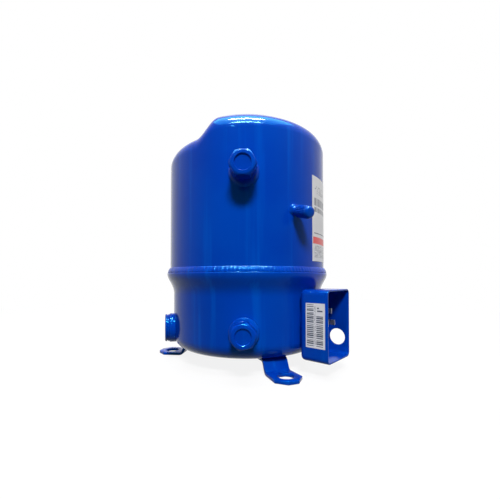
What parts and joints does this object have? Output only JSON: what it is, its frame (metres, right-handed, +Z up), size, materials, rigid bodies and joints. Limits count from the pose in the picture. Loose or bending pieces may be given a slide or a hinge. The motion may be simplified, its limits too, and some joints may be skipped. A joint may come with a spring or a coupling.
{
  "type": "hermetic compressor",
  "caption": "Welded hermetic piston compressor: stepped blue shell on bent strap feet, capped suction and discharge ports, sight glass, service valve and open terminal box.",
  "frame": {"origin": "shell axis at the mounting plane, the underside of the feet", "axes": "+Z up along the shell axis, -Y to the front where both ports point, +X to the right"},
  "size_m": [0.2664, 0.2583, 0.3396],
  "materials": {
    "blue_paint": "glossy deep blue enamel over pressed steel",
    "plated_steel": "plated steel",
    "ground_steel": "ground and hardened steel",
    "grey_casting": "machined grey iron",
    "lamination_steel": "stacked electrical sheet",
    "piston_alloy": "cast aluminium",
    "bearing_bronze": "sintered bronze",
    "valve_brass": "turned brass",
    "copper_tube": "drawn copper",
    "copper_wire": "varnished copper wire",
    "black_rubber": "moulded seal",
    "gasket_board": "pressed gasket board",
    "ivory_plastic": "moulded insulating plastic",
    "lead_insulation": "sleeved wire",
    "bead_glass": "fused sealing glass",
    "sight_glass": "clear sight glass"
  },
  "bodies": {
    "shell": {"upper_shell": "blue_paint", "lower_shell": "blue_paint", "belly_weld": "blue_paint", "front_foot": "blue_paint", "left_foot": "blue_paint", "rear_foot": "blue_paint", "suction_stub": "blue_paint", "discharge_stub": "blue_paint", "sight_boss": "blue_paint", "service_stub": "blue_paint", "terminal_collar": "blue_paint", "terminal_box": "blue_paint", "suction_seal": "black_rubber", "discharge_seal": "black_rubber", "sight_seal": "black_rubber", "sight_body": "plated_steel", "sight_lens": "sight_glass", "service_body": "valve_brass", "terminal_cup": "plated_steel", "terminal_beads": "bead_glass", "terminal_pins": "plated_steel", "terminal_plug": "ivory_plastic", "motor_leads": "lead_insulation", "support_brackets": "plated_steel", "support_screws": "plated_steel", "crankcase": "grey_casting", "lower_bush": "bearing_bronze", "upper_bush": "bearing_bronze", "thrust_washer": "bearing_bronze", "deck_gasket": "gasket_board", "head_gasket": "gasket_board", "valve_plate": "ground_steel", "valve_stop": "ground_steel", "cylinder_head": "grey_casting", "head_screws": "plated_steel", "suction_intake": "plated_steel", "discharge_tube": "copper_tube", "discharge_muffler": "plated_steel", "stator_core": "lamination_steel", "stator_winding": "copper_wire", "stator_screws": "plated_steel"},
    "suction_cap": {"suction_cap": "blue_paint"},
    "discharge_cap": {"discharge_cap": "blue_paint"},
    "service_cap": {"service_cap": "blue_paint"},
    "service_core": {"service_core": "plated_steel"},
    "crank": {"crankshaft": "ground_steel", "counterweight": "ground_steel", "oil_pickup": "plated_steel", "rotor_core": "lamination_steel", "rotor_cage": "piston_alloy"},
    "oil_plug": {"oil_plug": "valve_brass"},
    "slide_block": {"slide_block": "bearing_bronze"},
    "piston": {"crosshead": "ground_steel", "piston": "piston_alloy", "piston_rings": "grey_casting"},
    "suction_valve": {"suction_valve_ring": "ground_steel"},
    "discharge_valve": {"discharge_valve_ring": "ground_steel"}
  },
  "joints": [
    {"name": "crank_spin", "type": "hinge", "parent": "shell", "child": "crank", "pos_m": [0, 0, 0.14], "axis": [0, 0, 1], "continuous": true},
    {"name": "slide_block_turn", "type": "hinge", "parent": "crank", "child": "slide_block", "pos_m": [0, 0.013, 0.076], "axis": [0, 0, 1], "continuous": true},
    {"name": "oil_plug_turn", "type": "hinge", "parent": "crank", "child": "oil_plug", "pos_m": [0, 0.0065, 0.056], "axis": [0, 0, 1], "continuous": true},
    {"name": "piston_stroke", "type": "hinge", "parent": "oil_plug", "child": "piston", "pos_m": [0, 0.013, 0.076], "axis": [0, 0, 1], "continuous": true},
    {"name": "suction_valve_lift", "type": "slide", "parent": "shell", "child": "suction_valve", "axis": [0, -1, 0], "range_m": [0, 0.0009], "stiffness_N_per_m": 300},
    {"name": "discharge_valve_lift", "type": "slide", "parent": "shell", "child": "discharge_valve", "axis": [0, 1, 0], "range_m": [0, 0.0009], "stiffness_N_per_m": 300},
    {"name": "service_core_press", "type": "slide", "parent": "shell", "child": "service_core", "axis": [-0.5094, 0.8152, 0.2756], "range_m": [0, 0.0012], "stiffness_N_per_m": 400},
    {"name": "service_cap_off", "type": "slide", "parent": "shell", "child": "service_cap", "axis": [0.5094, -0.8152, -0.2756], "range_m": [0, 0.03]},
    {"name": "suction_cap_off", "type": "slide", "parent": "shell", "child": "suction_cap", "axis": [0, -1, 0], "range_m": [0, 0.08]},
    {"name": "discharge_cap_off", "type": "slide", "parent": "shell", "child": "discharge_cap", "axis": [0, -1, 0], "range_m": [0, 0.08]}
  ],
  "couplings": [
    {"joint": "slide_block_turn", "follows": "crank_spin", "ratio": -1},
    {"joint": "oil_plug_turn", "follows": "crank_spin", "ratio": -2},
    {"joint": "piston_stroke", "follows": "crank_spin", "ratio": 1}
  ]
}
